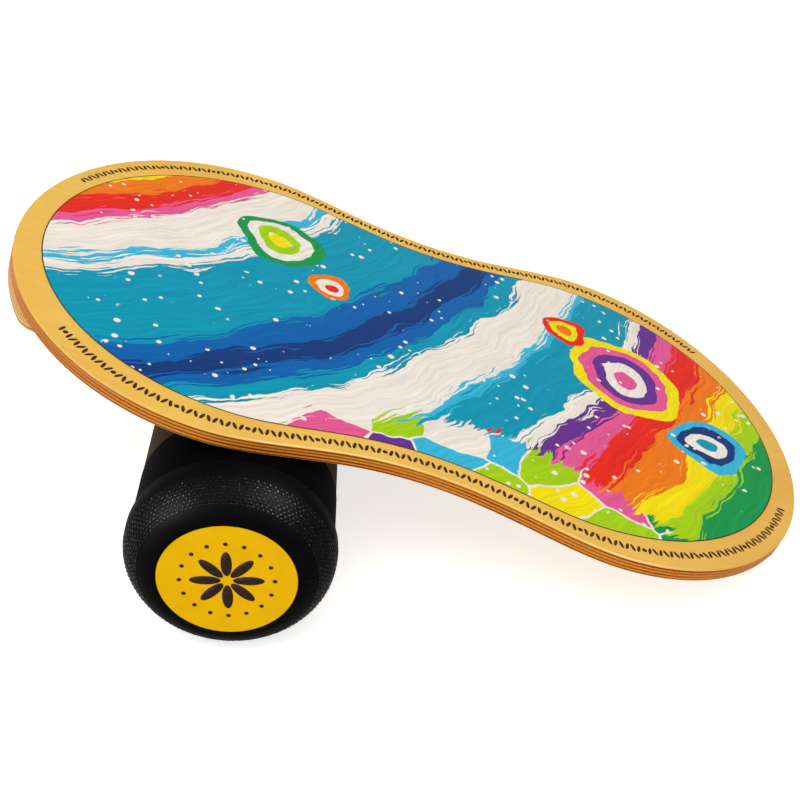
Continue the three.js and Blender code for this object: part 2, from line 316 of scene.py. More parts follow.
def quarter_path(length, width, waist, spread, tip_gap=0.0, steps=40):
    """A quarter of a waisted outline, from near the +x tip to the middle of the waist, as (x, y)."""
    lobe = spread / 2
    turns = [tip_gap + (math.pi / 2 - tip_gap) * i / steps for i in range(steps)]
    end = [end_curve(turn, length, width, spread) for turn in turns]
    from_lobe = [(lobe, width / 2), (lobe * (1 - LEAVING_LOBE), width / 2)]
    to_waist = [(lobe * LEAVING_WAIST, waist / 2), (0, waist / 2)]
    return end + [on_curve(from_lobe + to_waist, i / steps) for i in range(steps + 1)]


def side_path(*sizes, first_gap=0.0, last_gap=0.0):
    """One long side, from near the +x tip to near the other, with a gap in turn at each tip."""
    other = quarter_path(*sizes, last_gap)[:-1]
    return quarter_path(*sizes, first_gap) + [(-x, y) for x, y in reversed(other)]


def around(side):
    """A whole closed outline from one long side."""
    loop = [(x, y, 0) for x, y in side] + [(-x, -y, 0) for x, y in side[1:]]
    return loop[:-1] + [loop[0]]


deck_outline = around(side_path(DECK_LENGTH, DECK_WIDTH, DECK_WAIST, LOBE_SPREAD))
film_outline = around(side_path(FILM_LENGTH, FILM_WIDTH, FILM_WAIST, FILM_SPREAD))
print("outline points:", len(deck_outline), len(film_outline))

# %% [markdown]
# ## Geometry Nodes from the script
# Most pieces below follow a path or repeat, so Geometry Nodes make them. A tree's sizes are named inputs.
# What it works on is a mesh of seats. Most seats have no faces: their edges are paths, and their loose
# corners are places. Three helpers serve every tree: one starts it, one ends it with real meshes and a
# material, and one runs it on its seats.

# %% Helpers for Geometry Nodes
def start_tree(name, sizes):
    """An empty Geometry Nodes tree whose inputs are the named sizes, in bench millimetres."""
    tree = bpy.data.node_groups.new(name, "GeometryNodeTree")
    tree.interface.new_socket("Geometry", in_out="INPUT", socket_type="NodeSocketGeometry")
    for label, value in sizes.items():
        kind = "NodeSocketInt" if isinstance(value, int) else "NodeSocketFloat"
        tree.interface.new_socket(label, in_out="INPUT", socket_type=kind).default_value = value
    tree.interface.new_socket("Geometry", in_out="OUTPUT", socket_type="NodeSocketGeometry")
    return tree, add_node(tree, "NodeGroupInput")


def end_tree(tree, instances, material):
    """Makes real meshes of the instances and gives them their material."""
    real = add_node(tree, "GeometryNodeRealizeInstances", {0: instances})[0]
    smooth = add_node(tree, "GeometryNodeSetShadeSmooth", {0: real})[0]
    coloured = add_node(tree, "GeometryNodeSetMaterial", {0: smooth, "Material": material})[0]
    add_node(tree, "NodeGroupOutput", {0: coloured})


def grow(tree, seats, sizes, bench):
    """Runs a tree on a mesh of seats with the given sizes, and carries the result to its place."""
    thing = bpy.data.objects.new("seats", seats)
    bpy.context.scene.collection.objects.link(thing)
    modifier = thing.modifiers.new("grow", "NODES")
    modifier.node_group = tree
    for socket in tree.interface.items_tree:
        if socket.in_out == "INPUT" and socket.name in sizes:
            modifier[socket.identifier] = sizes[socket.name]
    mesh = plain_mesh(thing)
    mesh.transform(bench)
    return mesh


def path_mesh(paths, places=()):
    """Paths as edges, with loose corners at the places. A path that ends where it starts is closed."""
    mesh = bpy.data.meshes.new("path")
    points, edges = list(places), []
    for path in paths:
        closed = (Vector(path[0]) - Vector(path[-1])).length < 0.01
        first, count = len(points), len(path) - closed
        points += path[:count]
        edges += [(first + i, first + (i + 1) % count) for i in range(count if closed else count - 1)]
    mesh.from_pydata(points, edges, [])
    return mesh

# %% [markdown]
# ## Plates cut to an outline
# Every wooden piece of the deck is a plate: an outline, a top, a bottom and an edge. A router has rounded
# the whole blank's edges, so each veneer shows its slice of that rounding. The tree sweeps the slice's
# section along the outline for the wall, and fills the outline, set in by as much as the section is there,
# for the top and the bottom. How far the edge stands back at a height is a quarter circle's rule, so it is
# worked out by Math nodes. Loose corners among the seats are screw places: there a hole is bored and its
# mouth countersunk.

# %% The tree for a plate
PLATE_SIZES = {
    "Top": 0.0, "Bottom": -1.4, "Blank Top": 0.0, "Blank Bottom": -13.0, "Edge Round": 2.5,
    "Section Points": 12, "Hole Radius": 2.2, "Hole Depth": 18.2, "Sink Radius": 4.2, "Rim Depth": 0.6,
    "Sink Depth": 2.6,
}
OVERRUN = -1.0


def edge_setback(tree, given, height):
    """How far the rounded edge stands back from the outline at a height."""
    to_top = add_node(tree, "ShaderNodeMath", {0: given["Blank Top"], 1: height}, operation="SUBTRACT")[0]
    ends = {0: height, 1: given["Blank Bottom"]}
    to_bottom = add_node(tree, "ShaderNodeMath", ends, operation="SUBTRACT")[0]
    nearest = add_node(tree, "ShaderNodeMath", {0: to_top, 1: to_bottom}, operation="MINIMUM")[0]
    lack = add_node(tree, "ShaderNodeMath", {0: given["Edge Round"], 1: nearest}, operation="SUBTRACT")[0]
    sine = {0: lack, 1: given["Edge Round"]}
    share = add_node(tree, "ShaderNodeMath", sine, operation="DIVIDE", use_clamp=True)[0]
    angle = add_node(tree, "ShaderNodeMath", {0: share}, operation="ARCSINE")[0]
    cosine = add_node(tree, "ShaderNodeMath", {0: angle}, operation="COSINE")[0]
    rest = add_node(tree, "ShaderNodeMath", {0: 1.0, 1: cosine}, operation="SUBTRACT")[0]
    return add_node(tree, "ShaderNodeMath", {0: rest, 1: given["Edge Round"]}, operation="MULTIPLY")[0]


def swept_wall(tree, given, outline):
    """The plate's edge: a section bent by the setback rule, swept along the outline. Its y is depth."""
    upper = add_node(tree, "ShaderNodeMath", {0: given["Top"], 1: -1.0}, operation="MULTIPLY")[0]
    lower = add_node(tree, "ShaderNodeMath", {0: given["Bottom"], 1: -1.0}, operation="MULTIPLY")[0]
    ends = [add_node(tree, "ShaderNodeCombineXYZ", {1: depth})[0] for depth in (upper, lower)]
    line = add_node(tree, "GeometryNodeCurvePrimitiveLine", {0: ends[0], 1: ends[1]})[0]
    points = add_node(tree, "GeometryNodeResampleCurve", {"Curve": line, "Count": given["Section Points"]})[0]
    where = add_node(tree, "GeometryNodeInputPosition")[0]
    depth = add_node(tree, "ShaderNodeSeparateXYZ", {0: where})[1]
    height = add_node(tree, "ShaderNodeMath", {0: depth, 1: -1.0}, operation="MULTIPLY")[0]
    inwards = {0: edge_setback(tree, given, height), 1: -1.0}
    shift = add_node(tree, "ShaderNodeMath", inwards, operation="MULTIPLY")[0]
    offset = add_node(tree, "ShaderNodeCombineXYZ", {0: shift})[0]
    section = add_node(tree, "GeometryNodeSetPosition", {0: points, "Offset": offset})[0]
    return add_node(tree, "GeometryNodeCurveToMesh", {0: outline, 1: section})[0]


def filled_face(tree, given, outline, height):
    """A flat face inside the outline at a height, set in as far as the edge is there."""
    outwards = add_node(tree, "GeometryNodeInputNormal")[0]
    setback = edge_setback(tree, given, height)
    inwards = add_node(tree, "ShaderNodeMath", {0: setback, 1: -1.0}, operation="MULTIPLY")[0]
    offset = add_node(tree, "ShaderNodeVectorMath", {0: outwards, "Scale": inwards}, operation="SCALE")[0]
    inner = add_node(tree, "GeometryNodeSetPosition", {0: outline, "Offset": offset})[0]
    flat = add_node(tree, "GeometryNodeFillCurve", {0: inner}, mode="NGONS")[0]
    raised = add_node(tree, "ShaderNodeCombineXYZ", {2: height})[0]
    return add_node(tree, "GeometryNodeTransform", {0: flat, "Translation": raised})[0]


def cone_between(tree, start, end, lower, upper):
    """A cone's stump from one height to another, with a radius at each."""
    height = add_node(tree, "ShaderNodeMath", {0: end, 1: start}, operation="SUBTRACT")[0]
    shape = {"Vertices": 32, "Radius Top": upper, "Radius Bottom": lower, "Depth": height}
    stump = add_node(tree, "GeometryNodeMeshCone", shape)["Mesh"]
    foot = add_node(tree, "ShaderNodeCombineXYZ", {2: start})[0]
    return add_node(tree, "GeometryNodeTransform", {0: stump, "Translation": foot})[0]


def hole_cutters(tree, given):
    """A bore and a countersink at every loose corner of the seats. They start a little below it."""
    met = add_node(tree, "GeometryNodeInputMeshVertexNeighbors")[0]
    places = add_node(tree, "GeometryNodeSeparateGeometry", {0: given["Geometry"], 1: met})["Inverted"]
    hole, sink, rim = given["Hole Radius"], given["Sink Radius"], given["Rim Depth"]
    # Where each cone starts and ends, and its radius at both.
    stages = [
        (OVERRUN, given["Hole Depth"], hole, hole), (OVERRUN, rim, sink, sink),
        (rim, given["Sink Depth"], sink, hole),
    ]
    cutters = []
    for stage in stages:
        seats = {"Points": places, "Instance": cone_between(tree, *stage)}
        stood = add_node(tree, "GeometryNodeInstanceOnPoints", seats)[0]
        cutters.append(add_node(tree, "GeometryNodeRealizeInstances", {0: stood})[0])
    return cutters


def plate_tree(material):
    tree, given = start_tree("plate_cut_to_an_outline", PLATE_SIZES)
    curve = add_node(tree, "GeometryNodeMeshToCurve", {0: given["Geometry"]})[0]
    outline = add_node(tree, "GeometryNodeSetCurveNormal", {0: curve}, mode="Z_UP")[0]
    wall = swept_wall(tree, given, outline)
    top = filled_face(tree, given, outline, given["Top"])
    underside = filled_face(tree, given, outline, given["Bottom"])
    bottom = add_node(tree, "GeometryNodeFlipFaces", {0: underside})[0]
    parts = add_node(tree, "GeometryNodeJoinGeometry", {0: wall})
    for face in (top, bottom):
        tree.links.new(face, parts[0].node.inputs[0])
    closed = add_node(tree, "GeometryNodeMergeByDistance", {0: parts[0], "Distance": 0.002})[0]
    bored = add_node(tree, "GeometryNodeMeshBoolean", {0: closed}, operation="DIFFERENCE", solver="EXACT")
    for cutter in hole_cutters(tree, given):
        tree.links.new(cutter, bored[0].node.inputs[1])
    end_tree(tree, bored[0], material)
    return tree


# %% The nine veneers
# From the top down: the CAD node, its material and its slot.
VENEERS = [
    ("top_face_ply", veneer, "birch_face"),
    ("cross_ply_1", cross_edge, "birch_cross_grain"),
    ("long_ply_1", long_edge, "birch_long_grain"),
    ("cross_ply_2", cross_edge, "birch_cross_grain"),
    ("core_ply", long_edge, "birch_long_grain"),
    ("cross_ply_3", cross_edge, "birch_cross_grain"),
    ("long_ply_3", long_edge, "birch_long_grain"),
    ("cross_ply_4", cross_edge, "birch_cross_grain"),
    ("bottom_face_ply", veneer, "birch_face"),
]


def screw_places(end):
    """The middles of an end's three CAD screw heads on the deck's bench, where their holes start too."""
    boxes = [bench_box(f"{end}_end_stopper_screw_{i}", DECK_BENCH) for i in (1, 2, 3)]
    return [((low.x + high.x) / 2, (low.y + high.y) / 2, low.z) for low, high in boxes]


all_screws = screw_places("lowered") + screw_places("raised")
blank = {**PLATE_SIZES, "Blank Top": WOOD_TOP, "Blank Bottom": WOOD_TOP - DECK_THICK}
plate_trees = {}
for i, (node, material, slot) in enumerate(VENEERS):
    top = WOOD_TOP - i * PLY_STEP
    sizes = {**blank, "Top": top, "Bottom": top - PLY_THICK}
    if material.name not in plate_trees:
        plate_trees[material.name] = plate_tree(material)
    bored = sizes["Bottom"] < all_screws[0][2] + sizes["Hole Depth"]
    seats = path_mesh([deck_outline], all_screws if bored else ())
    ply = smooth_with_corners(grow(plate_trees[material.name], seats, sizes, DECK_BENCH))
    place_piece(f"smooth_{node}", ply, "deck", slot, node)
print("veneers:", len(VENEERS), "last one has", len(ply.polygons), "faces")

# %% [markdown]
# ## The stop blocks
# Under each end of the deck sits a crescent of the same plywood, which keeps the roller from running out.
# It is one CAD solid, so its stripes come from the material: the height below the block's glued face picks
# the veneer. The same fibres and growth rings as on the deck break the stripes up, as a sawn edge would.

# %% Striped plywood for the blocks
BLOCK_TOP = WOOD_TOP - DECK_THICK - GLUE_LINE
BLOCK_THICK = 12
# A share of the way down the block, and the colour that starts there.
BLOCK_STRIPES = [
    (0.0, "EBB36A"), (0.11, "B87632"), (0.22, "EDBB76"), (0.33, "C98A42"), (0.44, "F0C280"),
    (0.56, "E8B26A"), (0.66, "AC6A24"), (0.74, "EFC07C"), (0.88, "F3CC90"),
]


def block_plywood():
    lacquer = {"Roughness": 0.5, "IOR": 1.5, "Specular IOR Level": 0.07}
    material, tree, shader = start_material("birch_plywood_block", lacquer)
    where = bench_millimetres(tree, deck_centre, DECK_LEAN)
    height = add_node(tree, "ShaderNodeSeparateXYZ", {0: where})[2]
    limits = {"Value": height, "From Min": BLOCK_TOP, "From Max": BLOCK_TOP - BLOCK_THICK}
    depth = add_node(tree, "ShaderNodeMapRange", limits)[0]
    stops = [(place, linear(colour)) for place, colour in BLOCK_STRIPES]
    striped = add_node(tree, "ShaderNodeValToRGB", {"Fac": depth}, stops=stops, ease="CONSTANT")[0]
    fibres = stretched_noise(tree, where, (FIBRE_LONG, FIBRE_WIDE, FIBRE_WIDE))
    rings = stretched_noise(tree, where, RING_BLOTCH, detail=3)
    streaked = laid_over(tree, striped, linear("B9752C"), fibres, low=0.55, high=0.75, most=0.35)
    colour = laid_over(tree, streaked, linear("F6CC72"), rings, low=0.45, high=0.7, most=0.25)
    return dressed(material, shader, colour, fibres, strength=0.25)


block = block_plywood()
print("made", block.name)

# %% Outline of a stop block
BLOCK_DEPTH, BLOCK_CORNER = 72, 20
HALVINGS, END_STEPS, CORNER_STEPS = 40, 40, 12
INNER_EDGE = DECK_LENGTH / 2 + FACET_DEPTH - BLOCK_DEPTH


def corner_centre(turn):
    """Middle of a corner's fillet that touches the deck's end curve at a turn, and the way out from there."""
    x, y = end_curve(turn)
    out = Vector((math.cos(turn) * DECK_WIDTH, math.sin(turn) * (DECK_LENGTH - LOBE_SPREAD))).normalized()
    return Vector((x, y)) - BLOCK_CORNER * out, math.atan2(out.y, out.x)


def block_outline(side):
    """Flush with the deck's end, straight towards the roller. Side is 1 for the +x end, else -1."""
    low, high = 0.0, math.pi / 2
    for halving in range(HALVINGS):
        turn = (low + high) / 2
        too_far_out = corner_centre(turn)[0].x > INNER_EDGE + BLOCK_CORNER
        low, high = (turn, high) if too_far_out else (low, turn)
    centre, lean = corner_centre(low)
    half = [end_curve(low * i / END_STEPS) for i in range(END_STEPS)]
    half += arc(centre.x, centre.y, BLOCK_CORNER, lean, math.pi, CORNER_STEPS)
    loop = half + [(x, -y) for x, y in reversed(half[1:])] + half[:1]
    return [(side * x, side * y, 0) for x, y in loop]


# %% Two stop blocks
# A blank that reaches higher than the block leaves its glued edge square, and only the lower one is rounded.
BLOCK_SIZES = {
    **PLATE_SIZES, "Top": BLOCK_TOP, "Bottom": BLOCK_TOP - BLOCK_THICK,
    "Blank Top": BLOCK_TOP + PLATE_SIZES["Edge Round"], "Blank Bottom": BLOCK_TOP - BLOCK_THICK,
}
block_cutter = plate_tree(block)
for end, side in (("lowered", 1), ("raised", -1)):
    seats = path_mesh([block_outline(side)], screw_places(end))
    crescent = smooth_with_corners(grow(block_cutter, seats, BLOCK_SIZES, DECK_BENCH))
    place_piece(f"smooth_{end}_end_stopper", crescent, "deck", "stop_block_birch", f"{end}_end_stopper")
print("stop block faces:", len(crescent.polygons))

# %% [markdown]
# ## The printed film
# The deck carries a satin film, printed edge to edge with bold paint-like colours. Its design is drawn here
# from rules alone: broad arcs round a far centre, a corner of patchwork, a few ringed discs and a fine
# splatter. The arcs are a colour ramp over the distance from their centre. Noise stretched along each arc
# roughens its edge the way a nearly dry brush does, and the same noise makes the brush marks inside it.

# %% Colours and motifs of the print
CREAM, TEAL, BLUE, NAVY = "F6ECDF", "0899B6", "0A63AE", "123A7A"
LEMON, ORANGE, RED, PINK = "FBE40A", "F67D14", "EE2A1C", "EC5C96"
LIME, GREEN, PURPLE, SKY = "A8D514", "16994C", "6A3291", "39B9DC"
ARC_CENTRE = (-620, 420, 0)
ARC_FIRST, ARC_LAST = 330, 1130
# A distance from the arcs' centre in millimetres, and the colour that starts there.
ARCS = [
    (330, GREEN), (372, LIME), (404, LEMON), (432, ORANGE), (458, RED), (482, PINK), (496, CREAM),
    (548, SKY), (560, CREAM), (574, TEAL), (672, BLUE), (700, NAVY), (722, BLUE), (742, TEAL), (760, CREAM),
    (812, SKY), (822, TEAL), (880, CREAM), (894, PURPLE), (912, PINK), (934, RED), (962, ORANGE),
    (990, LEMON), (1016, LIME), (1042, GREEN),
]
BRUSH_BLOTCH = (95, 3.4, 1)
ARC_FRAY, PATCH_FRAY = 46, 70
PATCH_CENTRE, PATCH_REACH = (60, -345, 0), 232
PATCH_SIZE = 52
PATCHES = [LIME, LEMON, RED, GREEN, PINK, LIME, SKY, ORANGE, CREAM, PURPLE, LEMON, TEAL, GREEN]
# Place, radius and ring colours from the middle out.
DISCS = [
    (205, 52, 60, [PINK, CREAM, PURPLE, PINK, LEMON]),
    (283, -22, 38, [TEAL, CREAM, NAVY, SKY]),
    (150, 112, 26, [ORANGE, LEMON, RED]),
    (-150, 96, 42, [LEMON, LIME, CREAM, GREEN]),
    (-92, 44, 21, [RED, CREAM, ORANGE]),
]
DISC_SHARE = 0.9
DROP_STEP, CLOUD_BLOTCH = 11, (60, 60, 60)
SWAY_BLOTCH, SWAY_REACH = (75, 75, 75), 44


# %% The film's material
def painted_arcs(tree, where):
    """The arcs' colour, and the brush marks that run along them."""
    from_centre = {0: where, 1: ARC_CENTRE}
    away = add_node(tree, "ShaderNodeVectorMath", from_centre, operation="DISTANCE")["Value"]
    offset = add_node(tree, "ShaderNodeVectorMath", from_centre, operation="SUBTRACT")[0]
    parts = add_node(tree, "ShaderNodeSeparateXYZ", {0: offset})
    turn = add_node(tree, "ShaderNodeMath", {0: parts[1], 1: parts[0]}, operation="ARCTAN2")[0]
    run = add_node(tree, "ShaderNodeMath", {0: turn, 1: ARC_LAST}, operation="MULTIPLY")[0]
    along_arc = add_node(tree, "ShaderNodeCombineXYZ", {0: run, 1: away})[0]
    marks = stretched_noise(tree, along_arc, BRUSH_BLOTCH, detail=4)
    swing = {0: marks, 1: ARC_FRAY, 2: away}
    rough = add_node(tree, "ShaderNodeMath", swing, operation="MULTIPLY_ADD")[0]
    first, last = ARC_FIRST + ARC_FRAY / 2, ARC_LAST + ARC_FRAY / 2
    share = add_node(tree, "ShaderNodeMapRange", {"Value": rough, "From Min": first, "From Max": last})[0]
    span = ARC_LAST - ARC_FIRST
    stops = [((radius - ARC_FIRST) / span, linear(colour)) for radius, colour in ARCS]
    return add_node(tree, "ShaderNodeValToRGB", {"Fac": share}, stops=stops, ease="CONSTANT")[0], marks


def with_patches(tree, where, marks, under):
    """Lays the patchwork over the arcs. Cream seams part its patches, and brush marks fray its rim."""
    counted = add_node(tree, "ShaderNodeMapping", {"Vector": where, "Scale": [1 / PATCH_SIZE] * 3})[0]
    cells = {"Vector": counted, "Scale": 1, "Randomness": 0.9}
    chance = add_node(tree, "ShaderNodeTexVoronoi", cells, voronoi_dimensions="2D")["Color"]
    pick = add_node(tree, "ShaderNodeSeparateXYZ", {0: chance})[0]
    stops = [(i / len(PATCHES), linear(colour)) for i, colour in enumerate(PATCHES)]
    colour = add_node(tree, "ShaderNodeValToRGB", {"Fac": pick}, stops=stops, ease="CONSTANT")[0]
    edges = {"voronoi_dimensions": "2D", "feature": "DISTANCE_TO_EDGE"}
    seam = add_node(tree, "ShaderNodeTexVoronoi", cells, **edges)["Distance"]
    seamed = laid_over(tree, colour, linear(CREAM), seam, low=0.03, high=0.018)
    from_centre = {0: where, 1: PATCH_CENTRE}
    away = add_node(tree, "ShaderNodeVectorMath", from_centre, operation="DISTANCE")["Value"]
    swing = {0: marks, 1: PATCH_FRAY, 2: away}
    rough = add_node(tree, "ShaderNodeMath", swing, operation="MULTIPLY_ADD")[0]
    rim = PATCH_REACH + PATCH_FRAY / 2
    return laid_over(tree, under, seamed, rough, low=rim + 0.5, high=rim - 0.5)


def with_disc(tree, where, under, x, y, radius, rings):
    """Lays a ringed disc over the colours. Its ramp ends in a clear stop, so nothing shows outside it."""
    from_centre = {0: where, 1: (x, y, 0)}
    away = add_node(tree, "ShaderNodeVectorMath", from_centre, operation="DISTANCE")["Value"]
    share = add_node(tree, "ShaderNodeMath", {0: away, 1: radius / DISC_SHARE}, operation="DIVIDE")[0]
    stops = [(DISC_SHARE * i / len(rings), linear(ring)) for i, ring in enumerate(rings)]
    stops.append((DISC_SHARE, linear(rings[-1], 0)))
    disc = add_node(tree, "ShaderNodeValToRGB", {"Fac": share}, stops=stops, ease="CONSTANT")
    return add_node(tree, "ShaderNodeMix", {0: disc[1], 6: under, 7: disc[0]}, data_type="RGBA")[2]


def with_drops(tree, where, under):
    """Lays a fine cream splatter over the colours, in clouds. A drop's size is drawn by chance."""
    counted = add_node(tree, "ShaderNodeMapping", {"Vector": where, "Scale": [1 / DROP_STEP] * 3})[0]
    cells = {"Vector": counted, "Scale": 1, "Randomness": 1}
    drop = add_node(tree, "ShaderNodeTexVoronoi", cells, voronoi_dimensions="2D")
    chance = add_node(tree, "ShaderNodeSeparateXYZ", {0: drop["Color"]})[1]
    chosen = {"Value": chance, "From Min": 0.62, "To Max": 0.3}
    size = add_node(tree, "ShaderNodeMapRange", chosen)[0]
    gap = add_node(tree, "ShaderNodeMath", {0: size, 1: drop["Distance"]}, operation="SUBTRACT")[0]
    cloud = stretched_noise(tree, where, CLOUD_BLOTCH, detail=1)
    here = add_node(tree, "ShaderNodeMapRange", {"Value": cloud, "From Min": 0.5, "From Max": 0.52})[0]
    return laid_over(tree, under, linear(CREAM), gap, low=0, high=0.02, most=here)


def printed_film():
    settings = {"Roughness": 0.34, "IOR": 1.46, "Specular IOR Level": 0.03}
    material, tree, shader = start_material("printed_satin_film", settings)
    where = bench_millimetres(tree, deck_centre, DECK_LEAN)
    flat = add_node(tree, "ShaderNodeVectorMath", {0: where, 1: (1, 1, 0)}, operation="MULTIPLY")[0]
    sway = stretched_noise(tree, flat, SWAY_BLOTCH, detail=3, output="Color")
    centred = add_node(tree, "ShaderNodeVectorMath", {0: sway, 1: (0.5, 0.5, 0.5)}, operation="SUBTRACT")[0]
    pushed = {0: centred, 1: (SWAY_REACH, SWAY_REACH, 0), 2: flat}
    hand = add_node(tree, "ShaderNodeVectorMath", pushed, operation="MULTIPLY_ADD")[0]
    colour, marks = painted_arcs(tree, hand)
    colour = with_patches(tree, hand, marks, colour)
    for disc in DISCS:
        colour = with_disc(tree, hand, colour, *disc)
    colour = with_drops(tree, flat, colour)
    depth = {"Value": marks, "From Min": 0.3, "From Max": 0.7, "To Min": 0.85, "To Max": 1.07}
    shade = add_node(tree, "ShaderNodeMapRange", depth)[0]
    toned = add_node(tree, "ShaderNodeVectorMath", {0: colour, "Scale": shade}, operation="SCALE")[0]
    return dressed(material, shader, toned, marks, strength=0.2)


film = printed_film()
frame["nodes"]["printed_deck_film"].material_slots[0].material = film
print("film nodes:", len(film.node_tree.nodes))

# %% [markdown]
# ## Marks that follow a path
# A row of small marks runs round the deck's wooden border, and a ring of petals sits on each label. Both
# are the same idea: oval spots of ink set at even steps along a path, each turned to the path. Geometry
# Nodes do exactly that, so one tree serves both. It turns the edges of a simple path into a curve,
# resamples it to the wanted number of points and sets a flat oval on each, with a round dot in place of
# every nth oval. A slant, taken to one side and the other by turns, makes a zigzag of them.

# %% The tree for marks along a path
def marks_tree(name, material, sizes):
    tree, given = start_tree(name, sizes)
    curve = add_node(tree, "GeometryNodeMeshToCurve", {0: given["Geometry"]})[0]
    even = add_node(tree, "GeometryNodeResampleCurve", {"Curve": curve, "Count": given["Marks"]})[0]
    tangent = add_node(tree, "GeometryNodeInputTangent")[0]
    facing = add_node(tree, "FunctionNodeAlignRotationToVector", {"Vector": tangent}, axis="X")[0]
    index = add_node(tree, "GeometryNodeInputIndex")[0]
    odd = add_node(tree, "ShaderNodeMath", {0: index, 1: 2.0}, operation="FLOORED_MODULO")[0]
    side = add_node(tree, "ShaderNodeMath", {0: odd, 1: 2.0, 2: -1.0}, operation="MULTIPLY_ADD")[0]
    lean = {0: side, 1: given["Slant"], 2: given["Turn"]}
    turn = add_node(tree, "ShaderNodeMath", lean, operation="MULTIPLY_ADD")[0]
    about_z = add_node(tree, "ShaderNodeCombineXYZ", {"Z": turn})[0]
    turned = add_node(tree, "FunctionNodeRotateRotation", {0: facing, 1: about_z}, rotation_space="LOCAL")[0]
    place = add_node(tree, "ShaderNodeMath", {0: index, 1: given["Dot Every"]}, operation="FLOORED_MODULO")[0]
    last = add_node(tree, "ShaderNodeMath", {0: given["Dot Every"], 1: 1.5}, operation="SUBTRACT")[0]
    is_dot = add_node(tree, "ShaderNodeMath", {0: place, 1: last}, operation="GREATER_THAN")[0]
    wide, high = given["Dot Size"], given["Ink Height"]
    oval_size = {0: given["Mark Length"], 1: given["Mark Width"], 2: high}
    oval = add_node(tree, "ShaderNodeCombineXYZ", oval_size)[0]
    dot = add_node(tree, "ShaderNodeCombineXYZ", {0: wide, 1: wide, 2: high})[0]
    size = add_node(tree, "GeometryNodeSwitch", {0: is_dot, 1: oval, 2: dot}, input_type="VECTOR")[0]
    spot_shape = {"Vertices": 20, "Radius": 0.5, "Depth": 1.0}
    spot = add_node(tree, "GeometryNodeMeshCylinder", spot_shape)["Mesh"]
    seats = {"Points": even, "Instance": spot, "Rotation": turned, "Scale": size}
    end_tree(tree, add_node(tree, "GeometryNodeInstanceOnPoints", seats)[0], material)
    return tree


# %% [markdown]
# ## Ink on the border and a line round the print
# The marks on the border are a zigzag of leaves with a dot after every few, in the dark brown of ink that
# has sunk into lacquered wood. They leave the deck's two tips free. A thin dark line closes the print's
# edge: the same path idea, swept with a small round section and pressed flat.

# %% Border marks
def matte_ink(name, colour):
    material, tree, shader = start_material(name, {"Roughness": 0.6, "Specular IOR Level": 0.03})
    where = add_node(tree, "ShaderNodeTexCoord")["Object"]
    uneven = stretched_noise(tree, where, [3 * MM] * 3)
    worn = laid_over(tree, linear(colour), linear("6A4018"), uneven, low=0.4, high=0.7, most=0.12)
    tree.links.new(worn, shader.inputs["Base Color"])
    return material


ink = matte_ink("brown_border_ink", "42220A")
MARK_SIZES = {
    "Marks": 141, "Mark Length": 8.2, "Mark Width": 2.9, "Dot Every": 11, "Dot Size": 4.4,
    "Ink Height": 0.08, "Turn": math.pi / 2, "Slant": 0.33,
}
border_tree = marks_tree("marks_along_a_path", ink, MARK_SIZES)
ROW_START, ROW_END = math.radians(47), math.radians(25)
middle = side_path(
    (DECK_LENGTH + FILM_LENGTH) / 2, (DECK_WIDTH + FILM_WIDTH) / 2, (DECK_WAIST + FILM_WAIST) / 2,
    (LOBE_SPREAD + FILM_SPREAD) / 2, first_gap=ROW_START, last_gap=ROW_END,
)
rows = [[(x, y, WOOD_TOP) for x, y in middle], [(-x, -y, WOOD_TOP) for x, y in middle]]
border_marks = grow(border_tree, path_mesh(rows), MARK_SIZES, DECK_BENCH)
place_piece("border_marks", border_marks, "deck", "printed_film")
print("border marks:", len(border_marks.polygons), "faces")


# %% Line round the print
def line_tree(name, material, sizes):
    tree, given = start_tree(name, sizes)
    curve = add_node(tree, "GeometryNodeMeshToCurve", {0: given["Geometry"]})[0]
    circle = {"Resolution": 8, "Radius": given["Radius"]}
    section = add_node(tree, "GeometryNodeCurvePrimitiveCircle", circle)[0]
    swept = add_node(tree, "GeometryNodeCurveToMesh", {0: curve, 1: section, "Fill Caps": True})[0]
    end_tree(tree, swept, material)
    return tree


outline_ink = matte_ink("dark_outline_ink", "1E2A22")
LINE_SIZES = {"Radius": 0.5}
PRESSED = 0.12
pressed_flat = DECK_BENCH @ Matrix.Diagonal((1, 1, PRESSED, 1))
thin_line = line_tree("line_along_a_path", outline_ink, LINE_SIZES)
outline = grow(thin_line, path_mesh([film_outline]), LINE_SIZES, pressed_flat)
place_piece("print_outline", outline, "deck", "printed_film")
print("print outline:", len(outline.polygons), "faces")

# %% [markdown]
# ## Cap plastics
# The caps are moulded in black plastic. The mould's face has a fine grain, which leaves the caps matt and
# nearly black in any light. The pebbles on their shoulders have been rubbed smooth by floors and hands, so
# they alone catch small sharp glints, and they get a polished plastic of their own. A little dust lightens
# both in blotches. Mould grain is about a tenth of a millimetre, so it is drawn coarser to be seen.

# %% Plastics
DUST_BLOTCH = (34, 34, 34)
GRAIN_BLOTCH = (0.9, 0.9, 0.9)
DRAW_LINES = (1.5, 160, 1.5)


def black_plastic(name, roughness, specular, bump_strength):
    surface = {"Roughness": roughness, "IOR": 1.5, "Specular IOR Level": specular}
    material, tree, shader = start_material(name, surface)
    where = bench_millimetres(tree, roller_centre)
    dust = stretched_noise(tree, where, DUST_BLOTCH, detail=4)
    grain = stretched_noise(tree, where, GRAIN_BLOTCH)
    dusty = laid_over(tree, linear("050505"), linear("0E0D0C"), dust, low=0.5, high=0.75, most=0.5)
    colour = laid_over(tree, dusty, linear("171513"), grain, low=0.6, high=0.75, most=0.3)
    return dressed(material, shader, colour, grain, strength=bump_strength)


cap_plastic = black_plastic("moulded_black_cap", 0.5, 0.01, 0.3)
pebble_plastic = black_plastic("polished_black_pebbles", 0.15, 0.04, 0.1)
print("made", cap_plastic.name, pebble_plastic.name)

